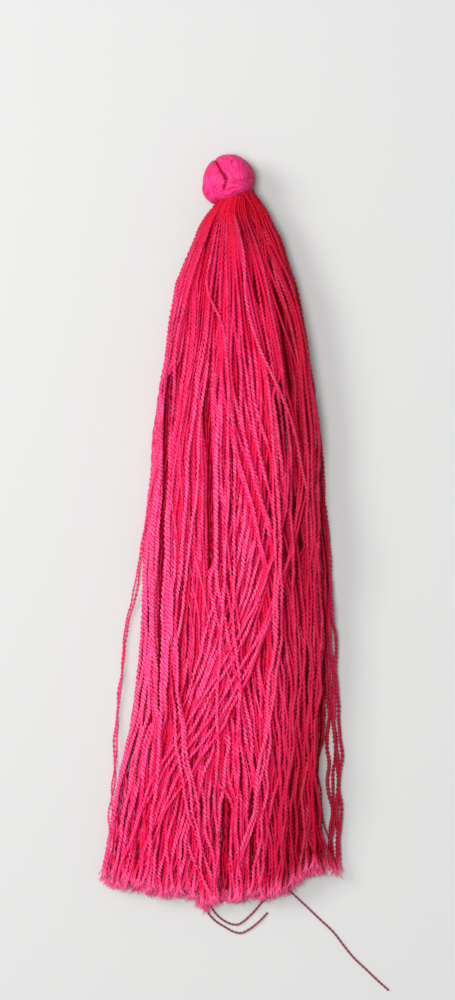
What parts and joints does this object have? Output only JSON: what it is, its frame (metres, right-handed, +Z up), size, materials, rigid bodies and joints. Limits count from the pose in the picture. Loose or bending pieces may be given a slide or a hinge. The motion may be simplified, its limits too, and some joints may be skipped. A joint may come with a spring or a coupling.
{
  "type": "tassel",
  "caption": "Long thread tassel lying flat: knotted ball head, flaring skirt of twisted thread with an uneven cut hem, and loose ends of its tying thread.",
  "frame": {"origin": "on the surface that the tassel lies on, under the middle of its head, at the head's flat spot", "axes": "+Y along the tassel from its hem to its crown, +Z up from the surface, +X to the right as seen from above with the crown away from the viewer"},
  "size_m": [0.0516, 0.1476, 0.0086],
  "materials": {
    "head_floss": "smooth satin viscose floss, hot pink",
    "skirt_thread": "twisted two-ply viscose thread, deep pink with a soft gloss",
    "tie_thread": "thin twisted cotton thread, dark wine red"
  },
  "bodies": {
    "root": {"head": "head_floss", "skirt": "skirt_thread", "tie_end_long": "tie_thread", "tie_end_hook": "tie_thread", "tie_end_bend": "tie_thread"}
  },
  "joints": []
}
